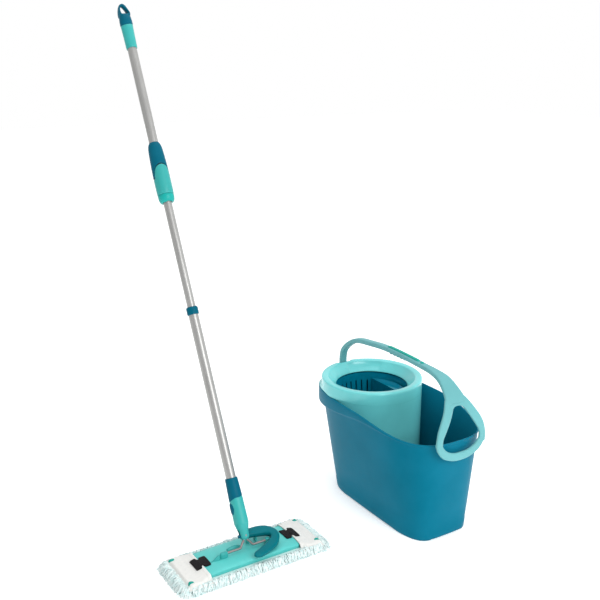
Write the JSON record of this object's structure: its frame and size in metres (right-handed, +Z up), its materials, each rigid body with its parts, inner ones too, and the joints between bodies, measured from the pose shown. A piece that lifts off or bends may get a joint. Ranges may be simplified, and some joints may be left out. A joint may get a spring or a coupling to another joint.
{
  "type": "spin mop set",
  "caption": "Flat spin mop with a telescopic spin-drive pole and wire-yoke swivel joint, beside an oval bucket with spin basket and swing-over pouring handle.",
  "frame": {"origin": "centre of the set's footprint on the floor", "axes": "+Z up, X along the mop plate and across the bucket, -Y towards the bucket's pouring end, +Y the way the pole leans"},
  "size_m": [0.7572, 0.7828, 1.2032],
  "materials": {
    "petrol": "glossy moulded polypropylene",
    "turquoise": "satin moulded polypropylene",
    "aqua": "satin moulded polypropylene",
    "teal_soft": "soft-touch moulding",
    "petrol_clear": "tinted translucent moulding",
    "tube": "brushed and lacquered tube",
    "steel": "plain zinc-plated steel",
    "acetal": "self-coloured bearing plastic",
    "black_rubber": "matte",
    "pocket_cloth": "tight woven polyester",
    "microfibre": "long microfibre fringe",
    "pad_cloth": "microfibre plush"
  },
  "bodies": {
    "bucket": {"bucket_tub": "petrol", "pivot_post": "petrol", "pivot_pin": "steel", "spin_housing": "turquoise", "handle_hinge_pin": "steel"},
    "basket": {"spin_basket": "petrol_clear", "basket_bush": "acetal", "basket_guides": "petrol_clear"},
    "handle": {"carry_handle": "aqua", "handle_grip_strip": "teal_soft"},
    "mop_head": {"mop_pad": "pad_cloth", "pad_fringe": "microfibre", "mop_plate": "turquoise", "pad_pockets": "pocket_cloth", "pad_clips": "black_rubber", "yoke_saddles": "turquoise", "saddle_screws": "steel", "lever_lugs": "turquoise", "lever_pin": "steel"},
    "lever": {"hook_lever": "petrol"},
    "yoke": {"wire_yoke": "steel", "yoke_hub": "petrol"},
    "lower_pole": {"click_socket": "turquoise", "fork_pin": "steel", "socket_collar": "petrol", "button_spring": "steel", "lower_tube": "tube", "pole_ring": "petrol", "drive_nut": "acetal", "nut_dowels": "steel"},
    "button": {"release_button": "petrol"},
    "bush": {"slide_bush": "acetal"},
    "mid_pole": {"mid_tube": "tube", "strip_plug": "acetal", "drive_strip": "steel", "stop_pins": "steel"},
    "upper_pole": {"upper_tube": "tube", "clamp_collet": "acetal", "grip_upper_shell": "petrol", "top_sleeve": "turquoise", "hang_cap": "petrol"},
    "grip_lock": {"grip_lock_sleeve": "turquoise", "grip_end_ring": "teal_soft"}
  },
  "joints": [
    {"name": "basket_spin", "type": "hinge", "parent": "bucket", "child": "basket", "pos_m": [0.2474, -0.05205, 0.2], "axis": [0, 0, 1], "continuous": true},
    {"name": "handle_swing", "type": "hinge", "parent": "bucket", "child": "handle", "pos_m": [0.2474, 0.07575, 0.283], "axis": [-1, 0, 0], "range_deg": [0, 95]},
    {"name": "mop_glide", "type": "slide", "parent": "bucket", "child": "mop_head", "axis": [0, 1, 0], "range_m": [-0.2, 0.2]},
    {"name": "lever_lift", "type": "hinge", "parent": "mop_head", "child": "lever", "pos_m": [-0.1741, -0.17325, 0.048], "axis": [-1, 0, 0], "range_deg": [0, 20]},
    {"name": "yoke_tilt", "type": "hinge", "parent": "mop_head", "child": "yoke", "pos_m": [-0.1976, -0.19625, 0.036], "axis": [-1, 0, 0], "range_deg": [-36, 24]},
    {"name": "pole_side_swing", "type": "hinge", "parent": "yoke", "child": "lower_pole", "pos_m": [-0.1976, -0.1851, 0.05837], "axis": [0, 0.8949, -0.4462], "range_deg": [-45, 11]},
    {"name": "button_press", "type": "slide", "parent": "lower_pole", "child": "button", "axis": [1, 0, 0], "range_m": [0, 0.0025], "stiffness_N_per_m": 400, "springref_m": -0.002, "deforming": ["button_spring"]},
    {"name": "pole_spin", "type": "hinge", "parent": "lower_pole", "child": "bush", "pos_m": [-0.1976, 0.038, 0.50584], "axis": [0, 0.4462, 0.8949], "range_deg": [-362, 0]},
    {"name": "pump", "type": "slide", "parent": "bush", "child": "mid_pole", "axis": [0, 0.4462, 0.8949], "range_m": [-0.12, 0]},
    {"name": "telescope", "type": "slide", "parent": "mid_pole", "child": "upper_pole", "axis": [0, 0.4462, 0.8949], "range_m": [-0.1, 0.05]},
    {"name": "grip_unlock", "type": "slide", "parent": "upper_pole", "child": "grip_lock", "axis": [0, 0.4462, 0.8949], "range_m": [-0.008, 0]}
  ],
  "couplings": [
    {"joint": "pole_spin", "follows": "pump", "rad_per_m": 52.36}
  ]
}
